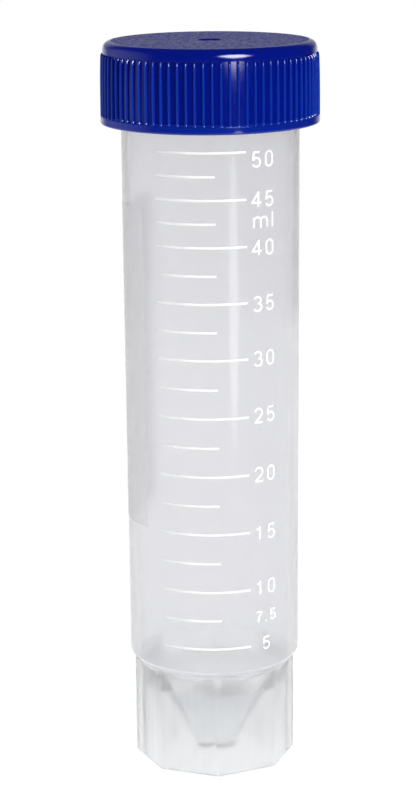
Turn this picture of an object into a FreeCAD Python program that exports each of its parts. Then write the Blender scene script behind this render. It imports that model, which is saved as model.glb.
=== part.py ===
import FreeCAD, Part
import math
import os
import re
import Sketcher

# A 50 ml conical centrifuge tube that stands on its own skirt, with its screw cap.
# Frame: millimetres, +Z up along the tube's axis, origin at the middle of the plane
# that the skirt stands on. The graduations look along -Y.

doc = FreeCAD.newDocument("conical_tube")

# ---------------------------------------------------------------------------
# Driving sizes
# ---------------------------------------------------------------------------

SIZES = {
    # round body of the tube
    "body_foot_height": 18.25,      # lower edge of the body
    "body_foot_radius": 13.84,      # outside, at that edge
    "body_flare": 0.25,             # how much further out the neck's wall stands
    "wall": 1.05,
    "rim_height": 116.0,
    "rim_round": 0.3,
    "neck_length": 11.6,            # the straight wall below the rim
    # cone that closes the body, inside the skirt
    "cone_half_angle": 36.9,
    "cone_wall": 1.1,
    "tip_height": 1.5,              # underside of the tip above the standing plane
    "tip_radius": 2.2,
    "tip_floor": 1.3,
    "tip_round": 0.8,
    # skirt
    "skirt_step": 0.71,             # how far its corners stand in from the body's edge
    "skirt_corner_round": 1.5,
    "skirt_wall": 0.69,             # at the middle of a flat
    "shoulder_angle": 35.0,         # slope from the body's edge in to the skirt, from the axis
    "shoulder_round": 1.0,          # where it leaves the body
    "shoulder_bury": 0.24,          # how far the slope runs on into the skirt's wall
    # screw thread, on the neck and in the cap
    "thread_pitch": 3.2,
    "thread_depth": 1.05,
    "thread_foot": 1.6,             # width of a ridge where it leaves its wall
    "thread_crest": 0.7,
    "thread_sink": 0.25,            # how far a ridge's foot is buried
    "thread_play": 0.3,             # radial running clearance
    "thread_start": 8.8,            # below the rim
    "neck_thread_turns": 2.0,
    "cap_thread_turns": 1.75,
    # cap
    "cap_reach": 10.8,              # how far its lower edge hangs below the rim
    "cap_bore_lead": 0.5,
    "cap_ceiling": 1.2,
    "cap_wall": 1.31,               # between the ribs
    "flange_rise": 0.56,            # out from the wall between the ribs
    "flange_height": 1.2,
    "flange_round": 0.3,
    "rib_rise": 0.47,
    "rib_foot": 0.66,
    "rib_crest": 0.3,
    "rib_sink": 0.1,
    "shoulder_height": 2.1,         # plain band between the ribs and the top
    "shoulder_rise": 0.1,
    "top_taper": 0.05,              # how much narrower the band is at the top
    "top_round": 1.25,
    "gate_radius": 2.0,
    "gate_depth": 0.45,
    "gate_stub_radius": 0.7,
    "gate_stub_rise": 0.3,
    # seal
    "seal_thickness": 0.8,
    "seal_play": 0.35,
    # print, in degrees from -Y, positive towards +X
    "print_gap": 0.01,
    "print_thickness": 0.05,
    "line_width": 0.4,
    "line_reach_left": 37.6,
    "long_line_reach_right": 21.9,
    "short_line_reach_right": 1.8,
    "panel_edge": 51.7,             # to the left
    "panel_span": 82.0,
    "panel_drop": 11.6,             # from the neck's foot down to its upper edge
    "panel_height": 51.5,
    # heights of the numbered lines, each named for the millilitres that it marks
    "line_5_ml": 22.2,
    "line_10_ml": 31.75,
    "line_15_ml": 41.35,
    "line_20_ml": 50.85,
    "line_25_ml": 60.3,
    "line_30_ml": 69.65,
    "line_35_ml": 78.6,
    "line_40_ml": 87.45,
    "line_45_ml": 94.8,
    "line_50_ml": 102.1,
}
COUNTS = {
    "skirt_sides": 8,
    "ribs": 80,
}
FRONT = -90                         # the direction of -Y, in degrees from +X
LEFT_OF_FRONT = 90                  # the turn from -Y to -X

cells = {**SIZES, **COUNTS}

sheet = doc.addObject("Spreadsheet::Sheet", "sizes")
for row, (name, value) in enumerate(cells.items(), start=1):
    sheet.set(f"A{row}", name)
    sheet.set(f"B{row}", str(value))
    sheet.setAlias(f"B{row}", name)
doc.recompute()

# Sizes that follow from the driving ones, as expressions in their names
NECK_RADIUS = "(body_foot_radius + body_flare)"         # outside, between the thread's turns
NECK_FOOT_HEIGHT = "(rim_height - neck_length)"
THREAD_START_HEIGHT = "(rim_height - thread_start)"
CONE_SLOPE = "tan(cone_half_angle)"
CONE_OFFSET = "cone_wall / cos(cone_half_angle)"        # across, between its two faces
CAVITY_FOOT_RADIUS = "(body_foot_radius - wall)"
CAVITY_FOOT_HEIGHT = f"tip_height + ({CAVITY_FOOT_RADIUS} - tip_radius + {CONE_OFFSET}) / {CONE_SLOPE}"
TIP_FLOOR_RADIUS = f"tip_radius + tip_floor * {CONE_SLOPE} - {CONE_OFFSET}"
TIP_FLOOR_HEIGHT = "tip_height + tip_floor"
CORNER_CENTRE_RADIUS = "(body_foot_radius - skirt_step - skirt_corner_round)"
FLAT_RADIUS = f"({CORNER_CENTRE_RADIUS} * cos(180 / skirt_sides) + skirt_corner_round)"
SKIRT_BORE_RADIUS = f"({FLAT_RADIUS} - skirt_wall)"
SKIRT_HOLLOW_HEIGHT = f"tip_height + ({SKIRT_BORE_RADIUS} - tip_radius) / {CONE_SLOPE}"
SHOULDER_FOOT_RADIUS = f"({FLAT_RADIUS} - shoulder_bury)"
SHOULDER_DROP = f"(body_foot_radius - {SHOULDER_FOOT_RADIUS}) / tan(shoulder_angle)"
CORNER_DROP = "skirt_step / tan(shoulder_angle)"
CAP_LOWER_EDGE = "(rim_height - cap_reach)"
CAP_BORE_RADIUS = f"({NECK_RADIUS} + thread_depth + thread_play)"
CAP_WALL_RADIUS = f"({CAP_BORE_RADIUS} + cap_wall)"
FLANGE_RADIUS = f"({CAP_WALL_RADIUS} + flange_rise)"
RIB_RADIUS = f"({CAP_WALL_RADIUS} + rib_rise)"
RIB_FOOT_RADIUS = f"({CAP_WALL_RADIUS} - rib_sink)"
SHOULDER_RADIUS = f"({CAP_WALL_RADIUS} + shoulder_rise)"
TOP_RADIUS = f"({SHOULDER_RADIUS} - top_taper)"
CAP_CEILING_HEIGHT = "(rim_height + seal_thickness)"
CAP_TOP_HEIGHT = f"({CAP_CEILING_HEIGHT} + cap_ceiling)"
RIB_TOP_HEIGHT = f"({CAP_TOP_HEIGHT} - shoulder_height)"
FLANGE_TOP_HEIGHT = f"({CAP_LOWER_EDGE} + flange_height)"
GATE_FLOOR_HEIGHT = f"({CAP_TOP_HEIGHT} - gate_depth)"
BODY_DRAFT = f"(body_flare / ({NECK_FOOT_HEIGHT} - body_foot_height))"
PANEL_TOP_HEIGHT = f"({NECK_FOOT_HEIGHT} - panel_drop)"


# ---------------------------------------------------------------------------
# Modelling helpers
# ---------------------------------------------------------------------------

def bound(text):
    """The expression with each driving size written as a cell of the sheet."""
    return re.sub(r"[a-z_][a-z_0-9]*", lambda word: "sizes." * (word.group() in cells) + word.group(), text)


def value(text):
    """What an expression in the driving sizes comes to."""
    result = sheet.evalExpression(bound(text))
    return float(getattr(result, "Value", result))


def new_sketch(body, name, role):
    sketch = body.newObject("Sketcher::SketchObject", name)
    plane = next(item for item in body.Origin.OriginFeatures if item.Role == role)
    sketch.AttachmentSupport = [(plane, "")]
    sketch.MapMode = "FlatFace"
    return sketch


def bind(sketch, kind, geometry, point, text):
    """Hold one point of a sketch at a distance from the origin, by an expression."""
    index = sketch.addConstraint(Sketcher.Constraint(kind, -1, 1, geometry, point, value(text)))
    sketch.setExpression(f"Constraints[{index}]", bound(text))


def add_outline(sketch, corners):
    """Add a closed outline whose corners are pairs of expressions; "0" is on an axis."""
    places = [FreeCAD.Vector(value(across), value(up), 0) for across, up in corners]
    first = sketch.GeometryCount
    for start, end in zip(places, places[1:] + places[:1]):
        sketch.addGeometry(Part.LineSegment(start, end), False)
    for step, (across, up) in enumerate(corners):
        edge = first + step
        previous = first + (step - 1) % len(corners)
        sketch.addConstraint(Sketcher.Constraint("Coincident", previous, 2, edge, 1))
        for text, axis, kind in ((across, -2, "DistanceX"), (up, -1, "DistanceY")):
            if text == "0":
                sketch.addConstraint(Sketcher.Constraint("PointOnObject", edge, 1, axis))
            else:
                bind(sketch, kind, edge, 1, text)


def new_outline(body, name, role, corners):
    sketch = new_sketch(body, name, role)
    add_outline(sketch, corners)
    return sketch


def turn_outline(body, kind, name, corners, role="XZ_Plane"):
    """A Revolution or a Groove of an outline, all the way round Z."""
    sketch = new_outline(body, name + "_outline", role, corners)
    feature = body.newObject("PartDesign::" + kind, name)
    feature.Profile = sketch
    feature.ReferenceAxis = (sketch, ["V_Axis"])
    feature.Angle = 360
    return feature


def round_edges(body, name, radius_name, places):
    """Round the body's circular edges that lie at the given radii and heights."""
    doc.recompute()
    base = body.Tip
    wanted = [(value(radius), value(height)) for radius, height in places]
    names = []
    for number, edge in enumerate(base.Shape.Edges, start=1):
        if not isinstance(edge.Curve, Part.Circle):
            continue
        centre = edge.Curve.Center
        for radius, height in wanted:
            if abs(edge.Curve.Radius - radius) < 1e-4 and abs(centre.z - height) < 1e-4:
                names.append(f"Edge{number}")
    if len(names) < len(wanted):
        raise RuntimeError(f"{name}: {len(names)} edges found of {len(wanted)}")
    fillet = body.newObject("PartDesign::Fillet", name)
    fillet.Base = (base, names)
    fillet.setExpression("Radius", bound(radius_name))
    return fillet


def add_thread(body, name, wall_radius, outward, turns_name):
    """Wind a trapezoid ridge round a wall, right-handed, from the side of +X or of -X."""
    side = "" if outward else "-"
    direction = "+" if outward else "-"
    foot = f"{side}({wall_radius} {'-' if outward else '+'} thread_sink)"
    crest = f"{side}({wall_radius} {direction} thread_depth)"
    ridge = new_outline(body, name + "_section", "XZ_Plane", [
        (foot, f"{THREAD_START_HEIGHT} - thread_foot / 2"),
        (crest, f"{THREAD_START_HEIGHT} - thread_crest / 2"),
        (crest, f"{THREAD_START_HEIGHT} + thread_crest / 2"),
        (foot, f"{THREAD_START_HEIGHT} + thread_foot / 2"),
    ])
    helix = body.newObject("PartDesign::AdditiveHelix", name)
    helix.Profile = ridge
    helix.ReferenceAxis = (ridge, ["V_Axis"])
    helix.Mode = "pitch-turns-angle"
    helix.setExpression("Pitch", bound("thread_pitch"))
    helix.setExpression("Turns", bound(turns_name))
    return helix


def new_body(name):
    body = doc.addObject("PartDesign::Body", name)
    body.Label = name
    return body


# ---------------------------------------------------------------------------
# Tube: body, cone, skirt and threaded neck, moulded as one piece
# ---------------------------------------------------------------------------

def make_tube():
    tube = new_body("tube")
    turn_outline(tube, "Revolution", "round_body", [
        ("0", f"body_foot_height - {SHOULDER_DROP}"),
        (SHOULDER_FOOT_RADIUS, f"body_foot_height - {SHOULDER_DROP}"),
        ("body_foot_radius", "body_foot_height"),
        (NECK_RADIUS, NECK_FOOT_HEIGHT),
        (NECK_RADIUS, "rim_height"),
        ("0", "rim_height"),
    ])
    body_foot = ("body_foot_radius", "body_foot_height")
    round_edges(tube, "shoulder_rounding", "shoulder_round", [body_foot])
    skirt = tube.newObject("PartDesign::Pad", "skirt")
    skirt.Profile = make_skirt_section(tube)
    skirt.setExpression("Length", bound(f"body_foot_height - {CORNER_DROP} / 2"))
    turn_outline(tube, "Groove", "skirt_hollow", [
        ("0", "0"),
        (SKIRT_BORE_RADIUS, "0"),
        (SKIRT_BORE_RADIUS, SKIRT_HOLLOW_HEIGHT),
        ("tip_radius", "tip_height"),
        ("0", "tip_height"),
    ])
    round_edges(tube, "tip_rounding", "tip_round", [("tip_radius", "tip_height")])
    turn_outline(tube, "Groove", "cavity", [
        ("0", TIP_FLOOR_HEIGHT),
        (TIP_FLOOR_RADIUS, TIP_FLOOR_HEIGHT),
        (CAVITY_FOOT_RADIUS, CAVITY_FOOT_HEIGHT),
        (f"{NECK_RADIUS} - wall", NECK_FOOT_HEIGHT),
        (f"{NECK_RADIUS} - wall", "rim_height"),
        ("0", "rim_height"),
    ])
    round_edges(tube, "floor_rounding", "tip_round", [(TIP_FLOOR_RADIUS, TIP_FLOOR_HEIGHT)])
    round_edges(tube, "rim_rounding", "rim_round", [
        (NECK_RADIUS, "rim_height"),
        (f"{NECK_RADIUS} - wall", "rim_height"),
    ])
    add_thread(tube, "neck_thread", NECK_RADIUS, True, "neck_thread_turns")
    return tube


def make_skirt_section(body):
    """The skirt's polygon with rounded corners, one of them towards -Y."""
    sketch = new_sketch(body, "skirt_section", "XY_Plane")
    sides = int(value("skirt_sides"))
    corner_round = value("skirt_corner_round")
    step = 360 / sides
    reach = math.radians(step / 2)
    across = FreeCAD.Vector(0, 0, 1)
    arcs = []
    for corner in range(sides):
        facing = corner * step + FRONT
        middle = math.radians(facing)
        centre = FreeCAD.Rotation(across, facing).multVec(FreeCAD.Vector(value(CORNER_CENTRE_RADIUS), 0, 0))
        circle = Part.Circle(centre, across, corner_round)
        arcs.append(Part.ArcOfCircle(circle, middle - reach, middle + reach))
    for arc in arcs:
        sketch.addGeometry(arc, False)
    for arc, following in zip(arcs, arcs[1:] + arcs[:1]):
        sketch.addGeometry(Part.LineSegment(arc.EndPoint, following.StartPoint), False)
    for corner in range(sides):
        angle = f"({corner} * 360 / {sides} + {FRONT})"
        bind(sketch, "DistanceX", corner, 3, f"{CORNER_CENTRE_RADIUS} * cos({angle})")
        bind(sketch, "DistanceY", corner, 3, f"{CORNER_CENTRE_RADIUS} * sin({angle})")
        following = (corner + 1) % sides
        sketch.addConstraint(Sketcher.Constraint("Tangent", corner, 2, sides + corner, 1))
        sketch.addConstraint(Sketcher.Constraint("Tangent", sides + corner, 2, following, 1))
        if corner:
            sketch.addConstraint(Sketcher.Constraint("Equal", 0, corner))
    index = sketch.addConstraint(Sketcher.Constraint("Radius", 0, corner_round))
    sketch.setExpression(f"Constraints[{index}]", bound("skirt_corner_round"))
    return sketch


# ---------------------------------------------------------------------------
# Screw cap
# ---------------------------------------------------------------------------

def make_cap():
    cap = new_body("screw_cap")
    turn_outline(cap, "Revolution", "shell", [
        (f"{CAP_BORE_RADIUS} + cap_bore_lead", CAP_LOWER_EDGE),
        (FLANGE_RADIUS, CAP_LOWER_EDGE),
        (FLANGE_RADIUS, FLANGE_TOP_HEIGHT),
        (CAP_WALL_RADIUS, FLANGE_TOP_HEIGHT),
        (CAP_WALL_RADIUS, RIB_TOP_HEIGHT),
        (SHOULDER_RADIUS, RIB_TOP_HEIGHT),
        (TOP_RADIUS, CAP_TOP_HEIGHT),
        ("0", CAP_TOP_HEIGHT),
        ("0", CAP_CEILING_HEIGHT),
        (CAP_BORE_RADIUS, CAP_CEILING_HEIGHT),
        (CAP_BORE_RADIUS, f"{CAP_LOWER_EDGE} + cap_bore_lead"),
    ])
    round_edges(cap, "top_rounding", "top_round", [(TOP_RADIUS, CAP_TOP_HEIGHT)])
    round_edges(cap, "flange_rounding", "flange_round", [
        (FLANGE_RADIUS, CAP_LOWER_EDGE),
        (FLANGE_RADIUS, FLANGE_TOP_HEIGHT),
    ])
    turn_outline(cap, "Groove", "gate_mark", [
        ("0", CAP_TOP_HEIGHT),
        ("gate_radius", CAP_TOP_HEIGHT),
        ("gate_radius", GATE_FLOOR_HEIGHT),
        ("gate_stub_radius", GATE_FLOOR_HEIGHT),
        ("gate_stub_radius", f"{GATE_FLOOR_HEIGHT} + gate_stub_rise"),
        ("0", f"{GATE_FLOOR_HEIGHT} + gate_stub_rise"),
    ])
    rib_section = new_outline(cap, "rib_section", "XY_Plane", [
        (RIB_FOOT_RADIUS, "rib_foot / 2"),
        (RIB_FOOT_RADIUS, "-rib_foot / 2"),
        (RIB_RADIUS, "-rib_crest / 2"),
        (RIB_RADIUS, "rib_crest / 2"),
    ])
    rib_section.setExpression("AttachmentOffset.Base.z", bound(FLANGE_TOP_HEIGHT))
    rib = cap.newObject("PartDesign::Pad", "rib")
    rib.Profile = rib_section
    rib.setExpression("Length", bound(f"{RIB_TOP_HEIGHT} - {FLANGE_TOP_HEIGHT}"))
    rib_ring = cap.newObject("PartDesign::PolarPattern", "rib_ring")
    rib_ring.Originals = [rib]
    rib_ring.Axis = (rib_section, ["N_Axis"])
    rib_ring.Angle = 360
    rib_ring.setExpression("Occurrences", bound("ribs"))
    cap.Tip = rib_ring
    add_thread(cap, "cap_thread", CAP_BORE_RADIUS, False, "cap_thread_turns")
    return cap


# ---------------------------------------------------------------------------
# Sealing disc between the rim and the cap's ceiling
# ---------------------------------------------------------------------------

def make_seal():
    seal = doc.addObject("Part::Cylinder", "cap_seal")
    seal.Label = "cap_seal"
    seal.setExpression("Radius", bound(f"{CAP_BORE_RADIUS} - seal_play"))
    seal.setExpression("Height", bound("seal_thickness"))
    seal.setExpression("Placement.Base.z", bound("rim_height"))
    return seal


# ---------------------------------------------------------------------------
# Print: thin films that follow the body's draft
# ---------------------------------------------------------------------------

def film_section(side, low, high):
    """A film's section between two heights, on the side of +X or +Y ("") or of -X or -Y ("-")."""
    def face(height, lift):
        return f"{side}(body_foot_radius + {BODY_DRAFT} * ({height} - body_foot_height) + {lift})"
    inner, outer = "print_gap", "print_gap + print_thickness"
    return [
        (face(low, inner), low),
        (face(low, outer), low),
        (face(high, outer), high),
        (face(high, inner), high),
    ]


def turn_film(body, name, sketch, forward, backward):
    """Turn a film's section by one angle each way round Z."""
    film = body.newObject("PartDesign::Revolution", name)
    film.Profile = sketch
    film.ReferenceAxis = (sketch, ["V_Axis"])
    film.Type = "TwoAngles"
    film.setExpression("Angle", bound(forward))
    film.setExpression("Angle2", bound(backward))
    return film


def make_graduations():
    """The numbered lines below the neck, and a short one halfway between each two of them."""
    lines = new_body("graduation_lines")
    lines.AllowCompound = True
    highest = value(f"{NECK_FOOT_HEIGHT} - line_width")
    long_middles = [name for name in SIZES if name.endswith("_ml") and SIZES[name] < highest]
    short_middles = [f"(({low} + {high}) / 2)" for low, high in zip(long_middles, long_middles[1:])]
    for name, middles, reach in (
        ("long_lines", long_middles, "long_line_reach_right"),
        ("short_lines", short_middles, "short_line_reach_right"),
    ):
        sketch = new_sketch(lines, name + "_section", "YZ_Plane")
        for middle in middles:
            low, high = f"{middle} - line_width / 2", f"{middle} + line_width / 2"
            add_outline(sketch, film_section("-", low, high))
        turn_film(lines, name, sketch, reach, "line_reach_left")
    return lines


def make_panel():
    """The field for writing on, round the left side of the body."""
    panel = new_body("writing_panel")
    section = film_section("-", f"{PANEL_TOP_HEIGHT} - panel_height", PANEL_TOP_HEIGHT)
    sketch = new_outline(panel, "panel_section", "XZ_Plane", section)
    ahead = f"({LEFT_OF_FRONT} - panel_edge)"
    turn_film(panel, "panel", sketch, ahead, f"panel_span - {ahead}")
    return panel


# ---------------------------------------------------------------------------
# Build, check and write
# ---------------------------------------------------------------------------

pieces = [make_tube(), make_cap(), make_seal(), make_graduations(), make_panel()]
doc.recompute()

for item in doc.Objects:
    if "Invalid" in item.State or "Error" in item.State:
        raise RuntimeError(f"{item.Name} failed: {item.State}")
for piece in pieces:
    if piece.Shape.isNull() or not piece.Shape.isValid():
        raise RuntimeError(f"{piece.Label} has no valid shape")

os.makedirs("parts", exist_ok=True)
for piece in pieces:
    piece.Shape.exportStep(f"parts/{piece.Label}.step")
    box = piece.Shape.BoundBox
    print(
        f"{piece.Label}: {len(piece.Shape.Solids)} solids, {piece.Shape.Volume / 1000:.3f} cm3,"
        f" x {box.XMin:.2f} {box.XMax:.2f}, y {box.YMin:.2f} {box.YMax:.2f}, z {box.ZMin:.2f} {box.ZMax:.2f}"
    )
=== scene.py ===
import math

import bmesh
import bpy
from bpy.props import FloatProperty, FloatVectorProperty, IntProperty, PointerProperty
from mathutils import Matrix, Vector


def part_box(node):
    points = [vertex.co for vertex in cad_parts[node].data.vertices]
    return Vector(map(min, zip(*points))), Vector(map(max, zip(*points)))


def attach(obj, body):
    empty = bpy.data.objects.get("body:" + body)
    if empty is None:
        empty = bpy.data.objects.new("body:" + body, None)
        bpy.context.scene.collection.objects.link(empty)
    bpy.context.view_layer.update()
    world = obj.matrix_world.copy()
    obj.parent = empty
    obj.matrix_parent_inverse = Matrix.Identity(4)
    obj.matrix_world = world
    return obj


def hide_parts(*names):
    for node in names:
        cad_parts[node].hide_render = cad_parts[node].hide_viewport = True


bl_info = {
    "name": "Conical Tube",
    "version": (1, 0, 0),
    "blender": (4, 5, 0),
    "location": "View3D > Sidebar > Tube",
    "description": "Dresses the packed frame of a skirted conical tube with its screw cap",
    "category": "Add Mesh",
}

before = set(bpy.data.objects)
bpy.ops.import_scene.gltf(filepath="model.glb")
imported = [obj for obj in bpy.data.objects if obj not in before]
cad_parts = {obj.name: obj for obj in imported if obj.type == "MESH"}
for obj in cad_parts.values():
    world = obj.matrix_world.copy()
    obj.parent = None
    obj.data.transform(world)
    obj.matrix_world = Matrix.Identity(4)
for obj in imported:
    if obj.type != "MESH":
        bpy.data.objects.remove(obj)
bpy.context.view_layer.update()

MM = 0.001
DEG = math.radians(1)
NEAR = 0.01 * MM    # points closer than this are taken to be in line


def linear(code):
    """An sRGB hex colour as linear red, green and blue."""
    channels = (int(code[at:at + 2], 16) / 255 for at in (1, 3, 5))
    return tuple(c / 12.92 if c <= 0.04045 else ((c + 0.055) / 1.055) ** 2.4 for c in channels)


def top_of(node):
    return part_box(node)[1].z


def foot_of(node):
    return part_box(node)[0].z


# ---------------------------------------------------------------------------
# Sizes and colours that a user would change
# ---------------------------------------------------------------------------

def length(name, description, default):
    return FloatProperty(name=name, description=description, default=default, min=0, unit="LENGTH")


def angle(name, description, default):
    return FloatProperty(name=name, description=description, default=default * DEG, subtype="ANGLE")


def amount(name, description, default, lowest=0.0):
    return FloatProperty(name=name, description=description, default=default, min=lowest)


def colour(name, description, code):
    return FloatVectorProperty(
        name=name, description=description, default=linear(code), subtype="COLOR", size=3, min=0, max=1,
    )


class TubeSettings(bpy.types.PropertyGroup):
    """The clear moulding"""
    wall: length("Wall", "Thickness of the round body's wall", 1.05 * MM)
    foot_radius: length("Foot radius", "Outside of the body at its lower edge", 13.84 * MM)
    foot_height: length("Foot height", "Height of the body's lower edge", 18.25 * MM)
    neck_radius: length("Neck radius", "Outside of the neck between the thread's turns", 14.09 * MM)
    neck_foot: length("Neck foot", "Height at which the body's draft ends", 104.4 * MM)
    cone_angle: angle("Cone angle", "Slope of the cone from the axis", 36.9)
    cone_wall: length("Cone wall", "Thickness of the cone", 1.1 * MM)
    tip_height: length("Tip height", "Underside of the tip above the bench", 1.5 * MM)
    tip_radius: length("Tip radius", "Half width of the flat under the tip", 2.2 * MM)
    tip_floor: length("Tip floor", "Thickness at the tip", 1.3 * MM)
    tip_round: length("Tip round", "Rounding of the tip, outside and inside", 0.8 * MM)
    floor_round: length("Floor round", "Rounding where the cone meets the wall inside", 1.5 * MM)
    rim_round: length("Rim round", "Rounding of the rim", 0.3 * MM)
    skirt_over_corners: length("Skirt over corners", "Width of the skirt over two corners", 26.26 * MM)
    skirt_corner_round: length("Skirt corner round", "Rounding of the skirt's corners", 1.5 * MM)
    skirt_bore: length("Skirt bore", "Radius of the hollow under the tube", 11.55 * MM)
    skirt_round: length("Skirt round", "Rounding of the skirt's lower edge", 0.15 * MM)
    hollow_round: length("Hollow round", "Rounding where the cone meets the skirt", 0.3 * MM)
    skirt_sides: IntProperty(name="Skirt sides", description="Number of facets", default=8, min=3)
    shoulder_angle: angle("Shoulder angle", "Slope between body and skirt, from the axis", 35.0)
    shoulder_round: length("Shoulder round", "Rounding of the body's lower edge", 0.25 * MM)
    tint: colour("Tint", "Colour of the polypropylene in the body", "#FBFBFD")
    foot_tint: colour("Foot tint", "Colour of the polypropylene in the skirt", "#FDFEFF")
    milkiness: amount("Milkiness", "Share of the light that the wall scatters", 0.16)
    cone_milkiness: amount("Cone milkiness", "Share of the light that the cone scatters", 0.01)
    foot_milkiness: amount("Foot milkiness", "Share of the light that the skirt scatters", 0.24)


class ThreadSettings(bpy.types.PropertyGroup):
    """The screw thread that neck and cap share"""
    pitch: length("Pitch", "Rise in one turn", 3.2 * MM)
    depth: length("Depth", "Height of a ridge", 1.05 * MM)
    foot: length("Foot", "Width of a ridge at its foot", 1.6 * MM)
    crest: length("Crest", "Width of a ridge along its top", 0.7 * MM)
    start: length("Start", "Height at which the ridge begins", 107.2 * MM)
    play: length("Play", "Radial running clearance", 0.3 * MM)
    neck_turns: amount("Neck turns", "Turns on the neck", 2.0, lowest=0.25)
    cap_turns: amount("Cap turns", "Turns in the cap", 1.75, lowest=0.25)


class CapSettings(bpy.types.PropertyGroup):
    """The screw cap"""
    valley_radius: length("Valley radius", "Radius between the ribs at their foot", 16.87 * MM)
    valley_rise: length("Valley rise", "How much deeper the valleys are at the top", 0.24 * MM)
    rib_radius: length("Rib radius", "Radius over the ribs at their foot", 17.27 * MM)
    rib_draft: length("Rib draft", "How far the ribs lean in at the top", 0.15 * MM)
    rib_foot: length("Rib foot", "Width of a rib at its foot", 0.46 * MM)
    rib_end: length("Rib end", "Height over which a rib rounds off under the shoulder", 0.55 * MM)
    flange_slope: length("Flange slope", "Height over which the valleys run out in the flange", 0.38 * MM)
    ribs: IntProperty(name="Ribs", description="Number of ribs", default=80, min=12)
    rib_turn: angle("Rib turn", "How far the ring of ribs is turned to the left", 1.3)
    flange_height: length("Flange height", "Height of the plain band at the lower edge", 1.2 * MM)
    flange_round: length("Flange round", "Rounding of the cap's lower edge", 0.3 * MM)
    bore_lead: length("Bore lead", "How far the bore opens out at the lower edge", 0.5 * MM)
    shoulder_radius: length("Shoulder radius", "Radius just above the ribs", 16.85 * MM)
    shoulder_height: length("Shoulder height", "Height of the plain band above the ribs", 1.85 * MM)
    top_radius: length("Top radius", "Radius of the top's edge before it is rounded", 16.83 * MM)
    top_round: length("Top round", "Rounding of the top's edge", 1.25 * MM)
    grain_radius: length("Grain radius", "Radius of the grained disc", 15.55 * MM)
    gate_radius: length("Gate radius", "Radius of the gate mark in the middle of the top", 1.9 * MM)
    gate_depth: length("Gate depth", "Depth of the gate mark", 0.45 * MM)
    stub_radius: length("Stub radius", "Foot of the stub that stands in the gate mark", 0.9 * MM)
    stub_drop: length("Stub drop", "How far the stub stays below the top", 0.15 * MM)
    blue: colour("Blue", "Colour of the polyethylene", "#00127C")
    # Painted highlight: a paler blue along the backs of the ribs stands in for the light that their crests
    # catch
    crest_highlight_blue: colour("Pale blue", "Colour along the backs of the ribs", "#0A2E9C")


class PrintSettings(bpy.types.PropertyGroup):
    """The white print on the body"""
    line_width: length("Line width", "Height of a printed line", 0.37 * MM)
    film: length("Film", "Thickness of the ink", 0.05 * MM)
    gap: length("Gap", "Distance between the ink and the wall", 0.01 * MM)
    line_left: length("Line left", "How far the lines reach round to the left", 9.1 * MM)
    long_right: length("Long line right", "How far the numbered lines reach round to the right", 5.55 * MM)
    short_right: length("Short line right", "How far the short lines reach round to the right", 0.7 * MM)
    label_turn: length("Label turn", "Middle of the numerals, round to the right", 8.45 * MM)
    lean: angle("Lean", "How far the print turns to the left by the neck", 2.9)
    stroke: length("Stroke", "Width of a numeral's stroke", 0.34 * MM)
    ink: colour("Ink", "Colour of the lines and numerals", "#FAFAFA")
    panel: colour("Panel", "Colour of the field for writing on", "#E0E0E2")


class StageSettings(bpy.types.PropertyGroup):
    """Camera and light"""
    camera_distance: length("Distance", "From the tube's axis to the camera, along the bench", 362.49 * MM)
    camera_height: length("Height", "Height of the camera above the bench", 149.92 * MM)
    camera_turn: angle("Turn", "How far the camera stands to the left of -Y", 2.136)
    camera_side: length("Side", "How far the camera is shifted to the left", 1.822 * MM)
    camera_pitch: angle("Pitch", "How far the camera looks down", 13.93)
    camera_yaw: angle("Yaw", "How far the camera looks to the right", 0.173)
    camera_roll: angle("Roll", "How far the camera is rolled", 0.482)
    floor_radius: length("Floor", "Radius of the sheet of paper", 350 * MM)
    camera_lens: FloatProperty(
        name="Lens", description="Focal length", default=103.582, min=1, subtype="DISTANCE_CAMERA",
    )
    left_power: amount("Left power", "Large card on the left, in watts", 1.5)
    right_power: amount("Right power", "Softbox on the right, in watts", 3.4)
    card_power: amount("Card power", "Low card on the right, in watts", 0.03)
    softbox: amount("Softbox", "How bright the softbox is in gloss", 18.0)


SETTINGS = {
    "tube_settings": TubeSettings,
    "thread_settings": ThreadSettings,
    "cap_settings": CapSettings,
    "print_settings": PrintSettings,
    "stage_settings": StageSettings,
}


# ---------------------------------------------------------------------------
# Modelling helpers
# ---------------------------------------------------------------------------

def arc_of(before, corner, after, radius, segments):
    """The points of the arc that rounds a corner between two straight runs."""
    start, end = (before - corner).normalized(), (after - corner).normalized()
    half = start.angle(end) / 2
    reach = radius / math.tan(half)
    centre = corner + (start + end).normalized() * radius / math.sin(half)
    first, last = corner + start * reach - centre, corner + end * reach - centre
    sweep = first.angle_signed(last)
    return [centre + Matrix.Rotation(-sweep * step / segments, 2) @ first for step in range(segments + 1)]


def rounded(corners, segments=5):
    """A profile through (radius, height) corners, each with an optional third number, its rounding."""
    places = [Vector(corner[:2]) for corner in corners]
    points = []
    for index, corner in enumerate(corners):
        if len(corner) > 2:
            points += arc_of(places[index - 1], places[index], places[index + 1], corner[2], segments)
        else:
            points.append(places[index])
    return points


def turn_sector(profile, sweep, steps):
    """An open bmesh from a profile that runs from the axis to the axis, turned from -sweep/2 to sweep/2."""
    bm = bmesh.new()
    start = Matrix.Rotation(-sweep / 2, 3, "Z")
    verts = [bm.verts.new(start @ Vector((point.x, 0, point.y))) for point in profile]
    edges = [bm.edges.new(pair) for pair in zip(verts, verts[1:])]
    bmesh.ops.spin(
        bm, geom=verts + edges, cent=(0, 0, 0), axis=(0, 0, 1), angle=sweep, steps=steps, use_merge=False,
    )
    return bm


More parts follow.
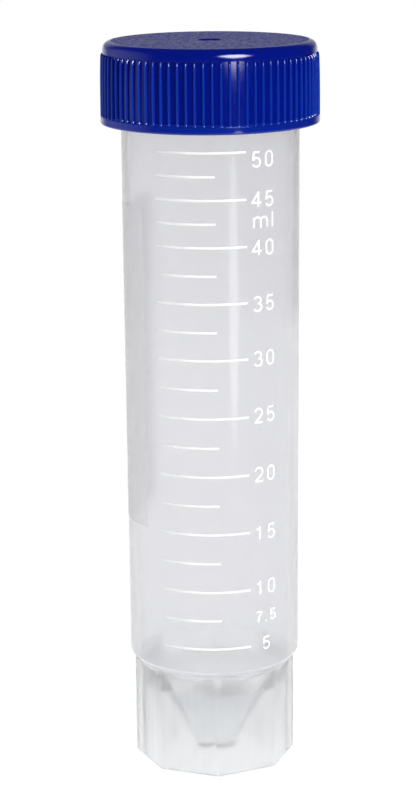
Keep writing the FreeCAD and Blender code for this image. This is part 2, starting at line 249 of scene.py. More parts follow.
def close_round(bm, sectors):
    """Repeat a sector all the way round the axis and join the copies to one closed shell."""
    bmesh.ops.spin(
        bm, geom=bm.verts[:] + bm.edges[:] + bm.faces[:], cent=(0, 0, 0), axis=(0, 0, 1),
        angle=math.tau * (sectors - 1) / sectors, steps=sectors - 1, use_duplicate=True,
    )
    bmesh.ops.remove_doubles(bm, verts=bm.verts, dist=0.0005 * MM)
    bmesh.ops.recalc_face_normals(bm, faces=bm.faces)


def lathe(profile, steps):
    """A closed bmesh from a profile that runs from the axis to the axis."""
    sectors = 8
    bm = turn_sector(profile, math.tau / sectors, steps // sectors)
    close_round(bm, sectors)
    return bm


def set_radius(vert, radius):
    """Move a vertex straight out from, or in to, the axis."""
    scale = radius / vert.co.xy.length
    vert.co.x *= scale
    vert.co.y *= scale


def wind_thread(wall_radius, outward, start_angle, turns, thread):
    """A closed ridge wound round a wall, right-handed, with its foot sunk in the wall."""
    steps_per_turn = 96
    sink, crest_round = 0.25 * MM, 0.2 * MM
    side = 1 if outward else -1
    foot, crest = wall_radius - side * sink, wall_radius + side * thread.depth
    bm = bmesh.new()
    section = [
        bm.verts.new((radius, 0, thread.start + up))
        for radius, up in (
            (foot, -thread.foot / 2), (crest, -thread.crest / 2),
            (crest, thread.crest / 2), (foot, thread.foot / 2),
        )
    ]
    bm.faces.new(section)
    bmesh.ops.bevel(
        bm, geom=section[1:3], offset=crest_round, segments=3, profile=0.5, affect="VERTICES", material=-1,
    )
    bmesh.ops.rotate(bm, verts=bm.verts, cent=(0, 0, 0), matrix=Matrix.Rotation(start_angle, 3, "Z"))
    steps = round(steps_per_turn * turns)
    bmesh.ops.spin(
        bm, geom=bm.faces[:] + bm.edges[:] + bm.verts[:], cent=(0, 0, 0), axis=(0, 0, 1),
        angle=math.tau * turns, dvec=(0, 0, thread.pitch * turns / steps), steps=steps,
    )
    bmesh.ops.recalc_face_normals(bm, faces=bm.faces)
    return bm


def to_object(bm, name, *materials):
    """Turn a bmesh into an object of the scene, with its materials in order."""
    mesh = bpy.data.meshes.new(name)
    bm.to_mesh(mesh)
    bm.free()
    for material in materials:
        mesh.materials.append(material)
    piece = bpy.data.objects.new(name, mesh)
    bpy.context.scene.collection.objects.link(piece)
    return piece


def apply_modifiers(piece):
    """Replace a piece's mesh by the one that its modifiers give."""
    graph = bpy.context.evaluated_depsgraph_get()
    mesh = bpy.data.meshes.new_from_object(piece.evaluated_get(graph))
    piece.modifiers.clear()
    old, piece.data = piece.data, mesh
    bpy.data.meshes.remove(old)
    mesh.name = piece.name


def unite(piece, addition):
    """Fuse another closed object into a piece."""
    fuse = piece.modifiers.new("fuse", "BOOLEAN")
    fuse.operation = "UNION"
    fuse.solver = "MANIFOLD"
    fuse.object = addition
    apply_modifiers(piece)
    mesh = addition.data
    bpy.data.objects.remove(addition)
    bpy.data.meshes.remove(mesh)


def smooth(piece, sharp_angle):
    """Shade a piece smooth, with edges sharper than an angle kept sharp."""
    for polygon in piece.data.polygons:
        polygon.use_smooth = True
    piece.data.set_sharp_from_angle(angle=sharp_angle)


def finish_piece(piece, body, replaced):
    """Tie a piece to its body, and hide the CAD node that it stands for."""
    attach(piece, body)
    if replaced:
        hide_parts(replaced)


# ---------------------------------------------------------------------------
# Materials
# ---------------------------------------------------------------------------

def fill(tree, socket, given):
    """Link a socket to the output of another node, or set it to a plain value."""
    if isinstance(given, bpy.types.NodeSocket):
        tree.links.new(given, socket)
    else:
        socket.default_value = given


def add_node(tree, kind, settings=None, **inputs):
    """Add a node, set its properties, and fill its inputs, named in lower case with underscores."""
    node = tree.nodes.new(kind)
    for name, setting in (settings or {}).items():
        setattr(node, name, setting)
    for socket in (socket for socket in node.inputs if socket.enabled):
        given = inputs.get(socket.name.lower().replace(" ", "_"))
        if given is not None:
            fill(tree, socket, given)
    return node


def combine(tree, operation, *given, kind="ShaderNodeMath"):
    """Numbers, or with the vector kind directions, combined by a node; each is a socket or plain."""
    node = add_node(tree, kind, {"operation": operation})
    for socket, one in zip(node.inputs, given):
        fill(tree, socket, one)
    return node


def new_material(name):
    """An empty node material and its tree."""
    material = bpy.data.materials.new(name)
    material.use_nodes = True
    material.node_tree.nodes.clear()
    return material, material.node_tree


def with_output(material, tree, shader):
    """The material, once its surface is a shader."""
    add_node(tree, "ShaderNodeOutputMaterial", surface=shader)
    return material


def stretched(tree, across, along):
    """Object coordinates in units of a grain that is so long across the axis and so long along it."""
    place = add_node(tree, "ShaderNodeTexCoord")
    scale = (1 / across, 1 / across, 1 / along)
    return add_node(tree, "ShaderNodeMapping", vector=place.outputs["Object"], scale=scale).outputs["Vector"]


def noise(tree, across, along, detail, roughness=0.5):
    """Cloudy noise with a grain that is so long across the axis and so long along it."""
    return add_node(
        tree, "ShaderNodeTexNoise", vector=stretched(tree, across, along), scale=1.0, detail=detail,
        roughness=roughness,
    ).outputs["Fac"]


def bumped(tree, height, strength, distance):
    """The surface's direction, disturbed by a pattern's height."""
    return add_node(
        tree, "ShaderNodeBump", strength=strength, distance=distance, height=height,
    ).outputs["Normal"]


def spread(tree, value, low, high, start=0.0, end=1.0):
    """A value that goes straight from low to high while another goes from start to end."""
    return add_node(
        tree, "ShaderNodeMapRange", value=value, from_min=start, from_max=end, to_min=low, to_max=high,
    ).outputs["Result"]


def rising(tree, value, start, end, low=0.0, high=1.0):
    """A value that goes softly from low to high while another goes from start to end."""
    return add_node(
        tree, "ShaderNodeMapRange", {"interpolation_type": "SMOOTHSTEP"}, value=value, from_min=start,
        from_max=end, to_min=low, to_max=high,
    ).outputs["Result"]


def mix_colours(tree, share, first, second):
    """One colour turned into another by a share."""
    mix = add_node(tree, "ShaderNodeMix", {"data_type": "RGBA"}, factor=share, a=(*first, 1), b=(*second, 1))
    return next(result for result in mix.outputs if result.enabled)


def mix_shaders(tree, share, first, second):
    """One shader turned into another by a share."""
    mix = add_node(tree, "ShaderNodeMixShader", fac=share)
    for socket, shader in zip(mix.inputs[1:], (first, second)):
        tree.links.new(shader.outputs[0], socket)
    return mix


def places(tree):
    """Distance from the axis, and height, of a point on the piece."""
    place = add_node(tree, "ShaderNodeTexCoord").outputs["Object"]
    flat = combine(tree, "MULTIPLY", place, (1, 1, 0), kind="ShaderNodeVectorMath")
    reach = combine(tree, "LENGTH", flat.outputs["Vector"], kind="ShaderNodeVectorMath")
    return reach.outputs["Value"], add_node(tree, "ShaderNodeSeparateXYZ", vector=place).outputs["Z"]


def clear_polypropylene():
    """Natural polypropylene, injection moulded: glossy but milky, except in the cone, with flow lines."""
    settings = bpy.context.scene.tube_settings
    material, tree = new_material("clear_polypropylene")
    reach, height = places(tree)
    flow = noise(tree, 3 * MM, 60 * MM, detail=3.0, roughness=0.6)
    tint = mix_colours(tree, rising(tree, height, 12 * MM, 22 * MM), settings.foot_tint, settings.tint)
    clear = add_node(
        tree, "ShaderNodeBsdfPrincipled", base_color=tint, roughness=spread(tree, flow, 0.14, 0.18), ior=1.49,
        transmission_weight=rising(tree, reach, 8.5 * MM, 11 * MM, 0.99, 0.94), specular_ior_level=1.0,
    )
    milk = add_node(tree, "ShaderNodeBsdfTranslucent", color=tint)
    outer = rising(tree, height, 14 * MM, 20 * MM, settings.foot_milkiness, settings.milkiness)
    mean = rising(tree, reach, 7 * MM, 10 * MM, settings.cone_milkiness, outer)
    milkiness = combine(tree, "MULTIPLY", mean, spread(tree, flow, 0.8, 1.2)).outputs[0]
    return with_output(material, tree, mix_shaders(tree, milkiness, clear, milk).outputs[0])


def blue_polyethylene():
    """High density polyethylene, injection moulded, dyed through and glossy, with a painted highlight: paler
    blue along the rib backs.
    """
    settings = bpy.context.scene.cap_settings
    material, tree = new_material("blue_polyethylene")
    reach, height = places(tree)
    low = rib_levels(settings)[0]
    # Painted highlight: paler blue along the backs of the ribs, weaker at the flange, for the light on the
    # crests
    painted_crest_highlight = combine(
        tree, "MULTIPLY",
        rising(tree, reach, settings.rib_radius - 0.42 * MM, settings.rib_radius - 0.18 * MM),
        rising(tree, height, low, low + 0.3 * MM, 0.4),
    ).outputs[0]
    uneven = noise(tree, 0.8 * MM, 0.8 * MM, detail=3.0)
    shader = add_node(
        tree, "ShaderNodeBsdfPrincipled", base_color=mix_colours(tree, painted_crest_highlight, settings.blue, settings.crest_highlight_blue),
        roughness=spread(tree, uneven, 0.08, 0.16), ior=1.54, normal=bumped(tree, uneven, 0.1, 0.03 * MM),
    )
    return with_output(material, tree, shader.outputs["BSDF"])


def grained_polyethylene():
    """The same polyethylene off a spark-eroded face: a matte grain, four times as coarse so that it shows."""
    settings = bpy.context.scene.cap_settings
    material, tree = new_material("grained_polyethylene")
    grain = noise(tree, 0.6 * MM, 0.6 * MM, detail=2.0, roughness=0.7)
    raised = add_node(
        tree, "ShaderNodeBsdfPrincipled", base_color=(*settings.blue, 1), roughness=0.33, ior=1.54,
        normal=bumped(tree, grain, 1.0, 0.16 * MM),
    )
    sunk = add_node(tree, "ShaderNodeBsdfDiffuse", color=(*settings.blue, 1))
    pits = spread(tree, grain, 0, 0.55, start=0.47, end=0.53)
    return with_output(material, tree, mix_shaders(tree, pits, raised, sunk).outputs[0])


def white_ink():
    """Screen-printed white ink: matte, nearly opaque, and more see-through where the lines run round to the
    left.
    """
    settings = bpy.context.scene.print_settings
    material, tree = new_material("white_ink")
    place = add_node(tree, "ShaderNodeTexCoord").outputs["Object"]
    across = add_node(tree, "ShaderNodeSeparateXYZ", vector=place).outputs["X"]
    mesh = noise(tree, 0.15 * MM, 0.15 * MM, detail=1.0)
    shader = add_node(
        tree, "ShaderNodeBsdfPrincipled", base_color=(*settings.ink, 1), roughness=0.55,
        alpha=spread(tree, across, 0.3, 0.95, start=-9 * MM, end=-4 * MM),
        normal=bumped(tree, mesh, 0.2, 0.02 * MM),
    )
    return with_output(material, tree, shader.outputs["BSDF"])


def panel_ink():
    """Screen-printed varnish to write on: matte, with some tooth, and so thin that most light passes."""
    settings = bpy.context.scene.print_settings
    material, tree = new_material("panel_ink")
    tooth = noise(tree, 0.2 * MM, 0.2 * MM, detail=2.0)
    shader = add_node(
        tree, "ShaderNodeBsdfPrincipled", base_color=(*settings.panel, 1), roughness=0.7,
        alpha=spread(tree, tooth, 0.18, 0.26), normal=bumped(tree, tooth, 0.3, 0.02 * MM),
    )
    return with_output(material, tree, shader.outputs["BSDF"])


def foamed_liner():
    """Foamed polyethylene sheet, die-cut: white and dull, with fine closed cells."""
    material, tree = new_material("foamed_liner")
    cells = add_node(
        tree, "ShaderNodeTexVoronoi", vector=stretched(tree, 0.3 * MM, 0.3 * MM), scale=1.0,
    ).outputs["Distance"]
    shader = add_node(
        tree, "ShaderNodeBsdfPrincipled", base_color=(*linear("#ECECE8"), 1), roughness=0.8,
        normal=bumped(tree, cells, 0.4, 0.05 * MM),
    )
    return with_output(material, tree, shader.outputs["BSDF"])


# ---------------------------------------------------------------------------
# Tube
# ---------------------------------------------------------------------------

def tube_profile(tube):
    """Half of the tube's section, from the axis under the tip round to the axis above it."""
    slope = math.tan(tube.cone_angle)
    offset = tube.cone_wall / math.cos(tube.cone_angle)
    skirt_radius = tube.skirt_over_corners / 2
    rim = top_of("tube")
    cavity_foot = tube.foot_radius - tube.wall
    floor_radius = tube.tip_radius + tube.tip_floor * slope - offset
    return rounded([
        (0, tube.tip_height),
        (tube.tip_radius, tube.tip_height, tube.tip_round),
        (tube.skirt_bore, tube.tip_height + (tube.skirt_bore - tube.tip_radius) / slope, tube.hollow_round),
        (tube.skirt_bore, 0, tube.skirt_round),
        (skirt_radius, 0, tube.skirt_round),
        (skirt_radius, tube.foot_height - (tube.foot_radius - skirt_radius) / math.tan(tube.shoulder_angle)),
        (tube.foot_radius, tube.foot_height, tube.shoulder_round),
        (tube.neck_radius, tube.neck_foot),
        (tube.neck_radius, rim, tube.rim_round),
        (tube.neck_radius - tube.wall, rim, tube.rim_round),
        (tube.neck_radius - tube.wall, tube.neck_foot),
        (cavity_foot, tube.tip_height + (cavity_foot - tube.tip_radius + offset) / slope, tube.floor_round),
        (floor_radius, tube.tip_height + tube.tip_floor, tube.tip_round),
        (0, tube.tip_height + tube.tip_floor),
    ])


def skirt_reach(turn, tube):
    """Distance from the axis to the skirt's outside, in a direction counted from a corner."""
    half = math.pi / tube.skirt_sides
    away = abs((turn + half) % (2 * half) - half)
    centre = tube.skirt_over_corners / 2 - tube.skirt_corner_round
    flat = (centre * math.cos(half) + tube.skirt_corner_round) / math.cos(half - away)
    if centre * math.sin(half) > flat * math.sin(half - away):
        return flat
    across = centre * math.sin(away)
    return centre * math.cos(away) + math.sqrt(tube.skirt_corner_round ** 2 - across ** 2)


def facet_skirt(bm, tube):
    """Draw the round skirt in to its facets, with the shoulder's lower edge following them."""
    wall_start = tube.skirt_bore + 0.5 * MM
    corner_radius = tube.skirt_over_corners / 2
    shoulder_foot = tube.foot_height - (tube.foot_radius - corner_radius) / math.tan(tube.shoulder_angle)
    for vert in bm.verts:
        radius, height = vert.co.xy.length, vert.co.z
        if radius < wall_start or height > shoulder_foot + NEAR:
            continue
        turn = math.atan2(vert.co.y, vert.co.x) + math.pi / 2
        drawn_in = corner_radius - skirt_reach(turn, tube)
        set_radius(vert, radius - drawn_in)
        if height > shoulder_foot - NEAR:
            vert.co.z -= drawn_in / math.tan(tube.shoulder_angle)


class TUBE_OT_make_tube(bpy.types.Operator):
    """Make the clear tube: body, cone, skirt and threaded neck"""
    bl_idname = "conical_tube.make_tube"
    bl_label = "Make Tube"

    def execute(self, context):
        tube, thread = context.scene.tube_settings, context.scene.thread_settings
        bm = lathe(tube_profile(tube), steps=288)
        facet_skirt(bm, tube)
        clear = clear_polypropylene()
        piece = to_object(bm, "tube_moulding", clear)
        ridge = wind_thread(tube.neck_radius, True, 0, thread.neck_turns, thread)
        unite(piece, to_object(ridge, "neck_ridge", clear))
        smooth(piece, 20 * DEG)
        finish_piece(piece, "tube", "tube")
        return {"FINISHED"}


# ---------------------------------------------------------------------------
# Cap and seal
# ---------------------------------------------------------------------------

def rib_levels(cap):
    """Heights at which the ribbed wall starts above the flange and ends under the shoulder."""
    low = foot_of("screw_cap") + cap.flange_height
    return low, top_of("screw_cap") - cap.shoulder_height


def valley_reach(height, low, high, cap):
    """Radius of the wall between two ribs, which leans in towards the top."""
    share = (height - low) / (high - low)
    return cap.valley_radius - cap.valley_rise * share ** 3


def rib_reach(height, low, high, cap):
    """Radius of a rib's crest, which leans in a little and rounds off under the shoulder."""
    share = (height - low) / (high - low)
    ended = max(0, 1 - (high - height) / cap.rib_end)
    reach = cap.rib_radius - cap.rib_draft * share ** 3
    return cap.shoulder_radius + (reach - cap.shoulder_radius) * math.sqrt(1 - ended ** 2)


def cap_profile(cap, bore):
    """Half of the cap's section between two ribs, from the axis on top round to the ceiling's middle."""
    top, edge = top_of("screw_cap"), foot_of("screw_cap")
    ceiling = top_of("cap_seal")
    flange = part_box("screw_cap")[1].x
    low, high = rib_levels(cap)
    start = low + cap.flange_slope
    foot, brink = valley_reach(start, low, high, cap), flange - 0.03 * MM
    # Rings of points up the wall, closer together at both ends
    rings = 16
    shares = [(1 - math.cos(math.pi * step / rings)) / 2 for step in range(1, rings)]
    heights = [high + (start - high) * share for share in shares]
    run_out = [
        (foot + (brink - foot) * share, start + (low - start) * share) for share in (0, 0.3, 0.55, 0.75)
    ]
    return rounded([
        (0, top - cap.stub_drop),
        (cap.stub_radius - 0.4 * MM, top - cap.stub_drop, 0.1 * MM),
        (cap.stub_radius, top - cap.gate_depth, 0.1 * MM),
        (cap.gate_radius - 0.3 * MM, top - cap.gate_depth, 0.1 * MM),
        (cap.gate_radius, top, 0.05 * MM),
        (cap.grain_radius, top),
        (cap.top_radius, top, cap.top_round),
        (cap.shoulder_radius, high, 0.04 * MM),
        (valley_reach(high, low, high, cap), high),
        *((valley_reach(height, low, high, cap), height) for height in heights),
        *run_out,
        (brink, low, 0.03 * MM),
        (flange, edge, cap.flange_round),
        (bore + cap.bore_lead, edge, 0.1 * MM),
        (bore, edge + cap.bore_lead),
        (bore, ceiling, 0.3 * MM),
        (0, ceiling),
    ])


def raise_rib(bm, cap):
    """Swell the middle of a sector of the wall into one rib: steep flanks and a round back."""
    crowding, bluntness = 1.4, 2.4
    low, high = rib_levels(cap)
    half_pitch = math.pi / cap.ribs
    for vert in bm.verts:
        turn = math.atan2(vert.co.y, vert.co.x) / half_pitch
        gathered = math.copysign(abs(turn) ** crowding, turn) * half_pitch
        radius, height = vert.co.xy.length, vert.co.z
        vert.co.xy = (radius * math.cos(gathered), radius * math.sin(gathered))
        away = abs(gathered) * cap.valley_radius / (cap.rib_foot / 2)
        if radius > cap.valley_radius - 2 * cap.valley_rise and low < height < high and away < 1:
            crest = rib_reach(height, low, high, cap)
            if crest > radius:
                set_radius(vert, radius + (crest - radius) * math.sqrt(1 - away ** bluntness))


class TUBE_OT_make_cap(bpy.types.Operator):
    """Make the ribbed screw cap"""
    bl_idname = "conical_tube.make_cap"
    bl_label = "Make Cap"

    def execute(self, context):
        cap, thread = context.scene.cap_settings, context.scene.thread_settings
        bore = context.scene.tube_settings.neck_radius + thread.depth + thread.play
        bm = turn_sector(cap_profile(cap, bore), math.tau / cap.ribs, steps=12)
        raise_rib(bm, cap)
        close_round(bm, cap.ribs)
        bmesh.ops.rotate(bm, verts=bm.verts, cent=(0, 0, 0), matrix=Matrix.Rotation(-cap.rib_turn, 3, "Z"))
        top = top_of("screw_cap")
        for face in bm.faces:
            middle = face.calc_center_median()
            if middle.z > top - NEAR and middle.xy.length < cap.grain_radius:
                face.material_index = 1
        blue = blue_polyethylene()
        piece = to_object(bm, "cap_moulding", blue, grained_polyethylene())
        ridge = wind_thread(bore, False, math.pi, thread.cap_turns, thread)
        unite(piece, to_object(ridge, "cap_ridge", blue))
        smooth(piece, 40 * DEG)
        finish_piece(piece, "cap", "screw_cap")
        return {"FINISHED"}


class TUBE_OT_make_seal(bpy.types.Operator):
    """Make the sealing disc under the cap's ceiling"""
    bl_idname = "conical_tube.make_seal"
    bl_label = "Make Seal"

    def execute(self, context):
        low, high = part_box("cap_seal")
        edge_round = 0.1 * MM
        bm = lathe(rounded([
            (0, low.z), (high.x, low.z, edge_round), (high.x, high.z, edge_round), (0, high.z),
        ]), steps=192)
        piece = to_object(bm, "seal_disc", foamed_liner())
        smooth(piece, 50 * DEG)
        finish_piece(piece, "seal", "cap_seal")
        return {"FINISHED"}


# ---------------------------------------------------------------------------
# Print
# ---------------------------------------------------------------------------

def bowl(x, y, across, up, start, end, steps=10):
    """Points on part of an ellipse, between two angles in degrees."""
    angles = (math.radians(start + (end - start) * step / steps) for step in range(steps + 1))
    return [Vector((x + across * math.cos(turn), y + up * math.sin(turn))) for turn in angles]


# Centre lines of the characters, in halves of a numeral's width and in its height, up from the
# base line. A list that ends where it starts is a closed ring.
STROKES = {
    "0": [bowl(0, 0.70, 0.86, 0.30, 0, 180) + bowl(0, 0.30, 0.86, 0.30, 180, 360) + [Vector((0.86, 0.70))]],
    "1": [rounded([(-0.75, 0.77), (-0.15, 0.84, 0.1), (0.08, 1)]), rounded([(0.1, 1), (0.1, 0)])],
    "2": [bowl(-0.02, 0.71, 0.90, 0.29, 172, -28) + rounded([(0.3, 0.38), (-0.92, 0.0, 0.03), (0.98, 0)])],
    "3": [bowl(-0.05, 0.76, 0.82, 0.24, 160, -78) + bowl(0, 0.27, 0.95, 0.27, 78, -160)],
    "4": [rounded([(0.38, 0), (0.38, 1, 0.01), (-1.15, 0.28, 0.02), (1.12, 0.28)])],
    "5": [
        rounded([(0.82, 1), (-0.62, 1, 0.05), (-0.80, 0.47, 0.03), (-0.60, 0.53)])
        + bowl(-0.02, 0.31, 0.94, 0.31, 122, -158),
    ],
    "7": [rounded([(-0.95, 1), (0.92, 1, 0.05), (0.0, 0.45, 0.6), (-0.30, 0)])],
    ".": [bowl(0, 0.02, 0.10, 0.03, 0, 360, 6)],
    "m": [
        rounded([(-1.62, 0), (-1.62, 0.72)]),
        bowl(-0.81, 0.46, 0.81, 0.25, 180, 0) + rounded([(0, 0.4), (0, 0)]),
        bowl(0.81, 0.46, 0.81, 0.25, 180, 0) + rounded([(1.62, 0.4), (1.62, 0)]),
    ],
    "l": [rounded([(0, 0), (0, 1.02)])],
}
# Each label: its text, the height of its middle and the height of its characters, all in millimetres.
LABELS = (
    ("50", 100.85, 2.6), ("45", 94.65, 2.6), ("ml", 91.4, 2.65), ("40", 87.1, 2.6), ("35", 78.3, 2.6),
    ("30", 69.55, 2.6), ("25", 60.4, 2.6), ("20", 50.75, 2.6), ("15", 41.05, 2.6), ("10", 31.9, 2.6),
    ("7.5", 26.95, 2.05), ("5", 22.35, 2.35),
)
# Heights of the numbered lines, in millimetres
LINES = (22.2, 31.75, 41.35, 50.85, 60.3, 69.65, 78.6, 87.45, 94.8, 102.1)
# Room for a character that isn't a numeral, in numerals' room, which is a share of the label's height
ADVANCE = {".": 0.5, "m": 1.5, "l": 0.4}
NUMERAL_ROOM = 0.9
NUMERAL_WIDTH = 0.65


def add_stroke(curve, points):
    """Add a line through points to a curve, closed where it ends at its start."""
    closed = (points[0] - points[-1]).length < NEAR
    if closed:
        points = points[:-1]
    spline = curve.splines.new("POLY")
    spline.points.add(len(points) - 1)
    for target, point in zip(spline.points, points):
        target.co = (point.x, point.y, 0, 1)
    spline.use_cyclic_u = closed


def write_label(curve, text, middle, height, print_):
    """Set a label's strokes on the flat: arc length from the front across, height above the bench up."""
    tall = height - print_.stroke
    half_width = tall * NUMERAL_WIDTH / 2
    rooms = [ADVANCE.get(character, 1) * NUMERAL_ROOM * height for character in text]
    start = print_.label_turn - sum(rooms) / 2
    for character, room in zip(text, rooms):
        centre = start + room / 2
        for stroke in STROKES[character]:
            add_stroke(curve, [
                Vector((centre + point.x * half_width, middle + (point.y - 0.5) * tall)) for point in stroke
            ])
        start += room


def body_reach(height, tube):
    """Outside of the body's drafted wall at a height."""
    share = (height - tube.foot_height) / (tube.neck_foot - tube.foot_height)
    return tube.foot_radius + (tube.neck_radius - tube.foot_radius) * share


def strokes_to_mesh(curve, width):
    """Sweep a stroke's round section along each centre line and press it flat."""
    curve.dimensions = "3D"
    curve.bevel_depth = width / 2
    curve.bevel_resolution = 1
    curve.use_fill_caps = True
    flat = bpy.data.objects.new(curve.name, curve)
    bpy.context.scene.collection.objects.link(flat)
    graph = bpy.context.evaluated_depsgraph_get()
    bm = bmesh.new()
    mesh = bpy.data.meshes.new_from_object(flat.evaluated_get(graph))
    bm.from_mesh(mesh)
    bpy.data.objects.remove(flat)
    bpy.data.curves.remove(curve)
    bpy.data.meshes.remove(mesh)
    return bm


def wrap(bm, width, print_, tube):
    """Wrap flat strokes round the body, a hair off its wall and as thick as the ink."""
    for vert in bm.verts:
        across, height, out = vert.co
        reach = body_reach(height, tube) + print_.gap + print_.film * (0.5 + out / width)
        lean = print_.lean * (height - tube.foot_height) / (tube.neck_foot - tube.foot_height)
        turn = across / tube.foot_radius - lean
        vert.co = (reach * math.sin(turn), -reach * math.cos(turn), height)


class TUBE_OT_make_print(bpy.types.Operator):
    """Print the graduations, their numerals and the writing panel"""
    bl_idname = "conical_tube.make_print"
    bl_label = "Make Print"

    def execute(self, context):
        print_, tube = context.scene.print_settings, context.scene.tube_settings
        middles = [height * MM for height in LINES]
        halfway = [(low + high) / 2 for low, high in zip(middles, middles[1:])]
        bends = 24
        ruled = bpy.data.curves.new("ruled_lines", "CURVE")
        for heights, right in ((middles, print_.long_right), (halfway, print_.short_right)):
            span = right + print_.line_left
            across = [-print_.line_left + span * step / bends for step in range(bends + 1)]
            for height in heights:
                add_stroke(ruled, [Vector((place, height)) for place in across])
        labels = bpy.data.curves.new("label_strokes", "CURVE")
        for text, middle, height in LABELS:
            write_label(labels, text, middle * MM, height * MM, print_)
        ink = white_ink()
        for name, curve, width, replaced in (
            ("graduation_marks", ruled, print_.line_width, "graduation_lines"),
            ("numerals", labels, print_.stroke, None),
        ):
            bm = strokes_to_mesh(curve, width)
            wrap(bm, width, print_, tube)
            piece = to_object(bm, name, ink)
            smooth(piece, 60 * DEG)
            finish_piece(piece, "tube", replaced)
        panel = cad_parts["writing_panel"].data
        panel.materials.clear()
        panel.materials.append(panel_ink())
        return {"FINISHED"}


# ---------------------------------------------------------------------------
# Stage
# ---------------------------------------------------------------------------

def add_lamp(name, place, target, width, depth, power, in_gloss=False):
    """An oval lamp that neither the camera nor light through the tube sees."""
    data = bpy.data.lights.new(name, "AREA")
    data.shape = "ELLIPSE"
    data.size, data.size_y, data.energy = width, depth, power
    lamp = bpy.data.objects.new(name, data)
    lamp.location = place
    lamp.rotation_euler = (Vector(target) - Vector(place)).to_track_quat("-Z", "Y").to_euler()
    lamp.visible_camera = lamp.visible_transmission = False
    lamp.visible_glossy = in_gloss
    bpy.context.scene.collection.objects.link(lamp)


def seen_white(tree, *kinds):
    """1 for a ray of one of the kinds that see the white background, 0 for any other."""
    rays = add_node(tree, "ShaderNodeLightPath").outputs
    seen = rays[kinds[0]]
    for kind in kinds[1:]:
        seen = combine(tree, "MAXIMUM", seen, rays[kind]).outputs[0]
    return seen


def make_floor(stage):
    """A round sheet of white paper: white to look at and in gloss, apart from the tube's faint shadow."""
    bm = bmesh.new()
    bmesh.ops.create_circle(bm, cap_ends=True, segments=128, radius=stage.floor_radius)
    floor = to_object(bm, "floor")
    material, tree = new_material("white_paper")
    paper = add_node(tree, "ShaderNodeBsdfDiffuse", color=(0.85, 0.85, 0.85, 1))
    white = add_node(tree, "ShaderNodeEmission", color=(1, 1, 1, 1), strength=1.05)
    seen = seen_white(tree, "Is Camera Ray", "Is Glossy Ray", "Is Transmission Ray")
    share = combine(tree, "MULTIPLY", seen, 0.9).outputs[0]
    surface = mix_shaders(tree, share, paper, white).outputs[0]
    floor.data.materials.append(with_output(material, tree, surface))


def facing(tree, toward, way, start, end):
    """0 to 1 as a direction turns towards a way, between two angles from it."""
    towards = combine(tree, "DOT_PRODUCT", toward, Vector(way).normalized(), kind="ShaderNodeVectorMath")
    return rising(tree, towards.outputs["Value"], math.cos(start), math.cos(end))


def background(tree, strength):
    """Plain white surroundings of some strength."""
    return add_node(tree, "ShaderNodeBackground", color=(1, 1, 1, 1), strength=strength)


def make_world(stage):
    """A plain studio, white to look at and through, with soft light and its own surroundings in gloss."""
    world = bpy.data.worlds.new("studio")
    world.use_nodes = True
    tree = world.node_tree
    tree.nodes.clear()
    toward = add_node(tree, "ShaderNodeTexCoord").outputs["Generated"]
    up = add_node(tree, "ShaderNodeSeparateXYZ", vector=toward).outputs["Z"]
    # In gloss: a dark room, then a pale wall on the left, a sheet behind that fades upwards, and the softbox
    gloss = background(tree, 0.02)
    for way, start, end, strength in (
        ((-1, 0.3, 0), 45, 10, 0.45),
        ((0, 1, 0), 45, 5, spread(tree, up, 1.0, 0.42, start=0.02, end=0.1)),
        ((0.4, -0.88, 0.3), 19, 8, stage.softbox),
    ):
        share = facing(tree, toward, way, start * DEG, end * DEG)
        gloss = mix_shaders(tree, share, gloss, background(tree, strength))
    # On dull surfaces: soft light that comes mostly from behind
    behind = facing(tree, toward, (-0.4, 1, 0), 160 * DEG, 20 * DEG)
    soft = mix_shaders(tree, behind, background(tree, 0.28), background(tree, 1.1))
    lit = mix_shaders(tree, seen_white(tree, "Is Glossy Ray"), soft, gloss)
    seen = seen_white(tree, "Is Camera Ray", "Is Transmission Ray")
    whole = mix_shaders(tree, seen, lit, background(tree, 1.0))
    add_node(tree, "ShaderNodeOutputWorld", surface=whole.outputs[0])
    bpy.context.scene.world = world


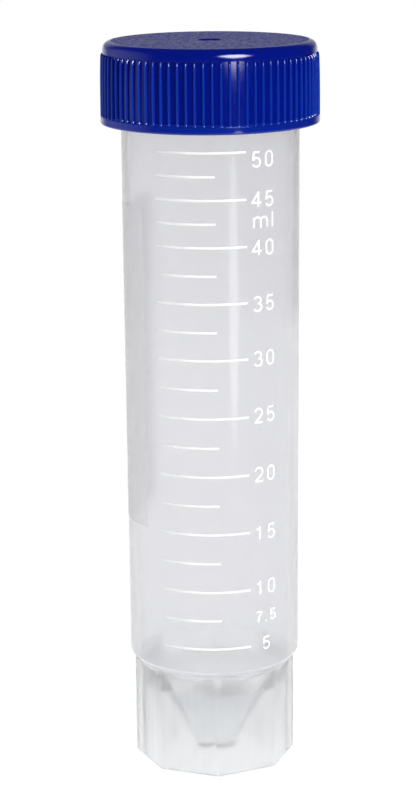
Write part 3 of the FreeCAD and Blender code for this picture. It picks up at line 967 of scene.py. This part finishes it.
def make_camera(stage):
    """The camera, turned about the tube's axis, shifted, then tilted, yawed and rolled."""
    data = bpy.data.cameras.new("camera")
    data.lens = stage.camera_lens
    data.sensor_width = 36.0
    camera = bpy.data.objects.new("camera", data)
    turned = Matrix.Rotation(-stage.camera_turn, 4, "Z")
    looking = (
        Matrix.Rotation(-stage.camera_yaw, 4, "Z")
        @ Matrix.Rotation(math.pi / 2 - stage.camera_pitch, 4, "X")
        @ Matrix.Rotation(-stage.camera_roll, 4, "Z")
    )
    place = Matrix.Translation((-stage.camera_side, -stage.camera_distance, stage.camera_height))
    camera.matrix_world = turned @ place @ looking
    bpy.context.scene.collection.objects.link(camera)
    bpy.context.scene.camera = camera


class TUBE_OT_make_stage(bpy.types.Operator):
    """Make the floor, the lamps and the camera"""
    bl_idname = "conical_tube.make_stage"
    bl_label = "Make Stage"

    def execute(self, context):
        stage = context.scene.stage_settings
        make_floor(stage)
        make_world(stage)
        add_lamp("card_left", (-0.6, 0.25, 0.15), (0, 0, 0.1), 0.5, 0.5, stage.left_power)
        add_lamp("softbox_right", (0.31, -0.61, 0.31), (0, 0, 0.12), 0.4, 0.4, stage.right_power)
        add_lamp(
            "card_right", (0.088, -0.184, 0.036), (0, 0, 0.04), 0.04, 0.078, stage.card_power, in_gloss=True,
        )
        make_camera(stage)
        context.scene.view_settings.view_transform = "Standard"
        return {"FINISHED"}


# ---------------------------------------------------------------------------
# Panel and registration
# ---------------------------------------------------------------------------

OPERATORS = (
    TUBE_OT_make_tube,
    TUBE_OT_make_cap,
    TUBE_OT_make_seal,
    TUBE_OT_make_print,
    TUBE_OT_make_stage,
)


class TUBE_PT_panel(bpy.types.Panel):
    """The tube's sizes and the buttons that make its pieces"""
    bl_label = "Conical Tube"
    bl_space_type = "VIEW_3D"
    bl_region_type = "UI"
    bl_category = "Tube"

    def draw(self, context):
        layout = self.layout
        for name, group in SETTINGS.items():
            column = layout.column(align=True)
            column.label(text=group.__doc__)
            for key in group.__annotations__:
                column.prop(getattr(context.scene, name), key)
        for operator in OPERATORS:
            layout.operator(operator.bl_idname)


CLASSES = (*SETTINGS.values(), *OPERATORS, TUBE_PT_panel)


def register():
    for item in CLASSES:
        bpy.utils.register_class(item)
    for name, group in SETTINGS.items():
        setattr(bpy.types.Scene, name, PointerProperty(type=group))


def unregister():
    for name in SETTINGS:
        delattr(bpy.types.Scene, name)
    for item in reversed(CLASSES):
        bpy.utils.unregister_class(item)


def main():
    register()
    for operator in OPERATORS:
        group, name = operator.bl_idname.split(".")
        getattr(getattr(bpy.ops, group), name)()


if __name__ == "__main__":
    main()
